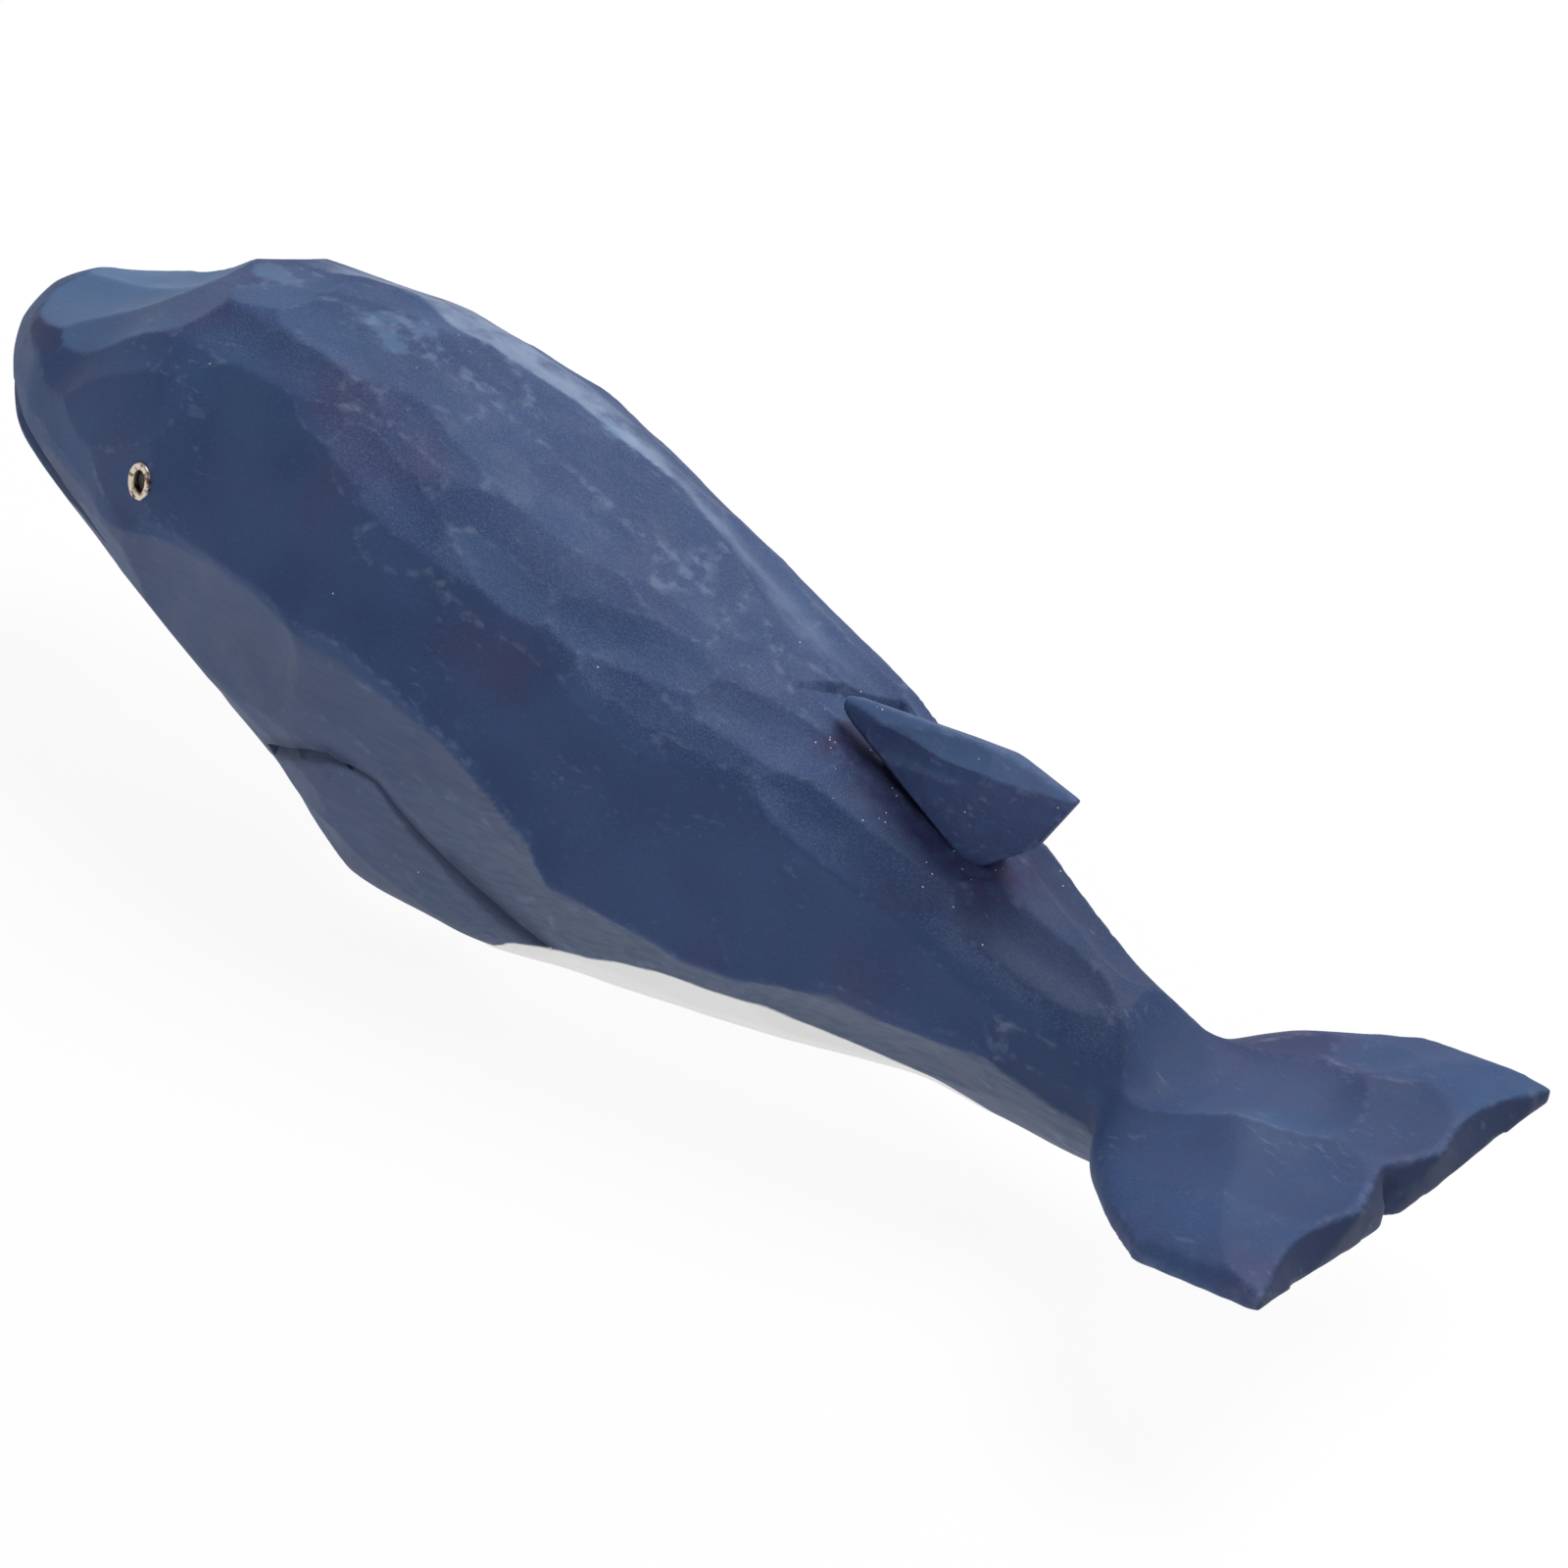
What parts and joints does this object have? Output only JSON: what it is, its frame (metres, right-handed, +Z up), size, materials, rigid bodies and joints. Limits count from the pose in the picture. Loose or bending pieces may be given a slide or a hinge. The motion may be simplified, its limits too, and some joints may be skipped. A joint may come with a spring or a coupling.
{
  "type": "carved whale figurine",
  "caption": "Hand-carved and painted wooden whale that rests on its belly, with knife-cut facets, a let-in dorsal fin and inlaid eyes.",
  "frame": {"origin": "centre of the figure's footprint, in the plane of the flat that it rests on", "axes": "+Z up, +X from the snout to the flukes, +Y to the whale's right side"},
  "size_m": [0.13, 0.036, 0.0378],
  "materials": {
    "painted_wood": "matte, thinly painted, worn at the arrises",
    "painted_fin": "matte, thinly painted",
    "eye_ring": "rolled sleeve, pale plating, partly tarnished",
    "eye_pupil": "dark stained and varnished"
  },
  "bodies": {
    "root": {"body": "painted_wood", "dorsal_fin": "painted_fin", "left_eye_ring": "eye_ring", "right_eye_ring": "eye_ring", "left_eye_pupil": "eye_pupil", "right_eye_pupil": "eye_pupil"}
  },
  "joints": []
}
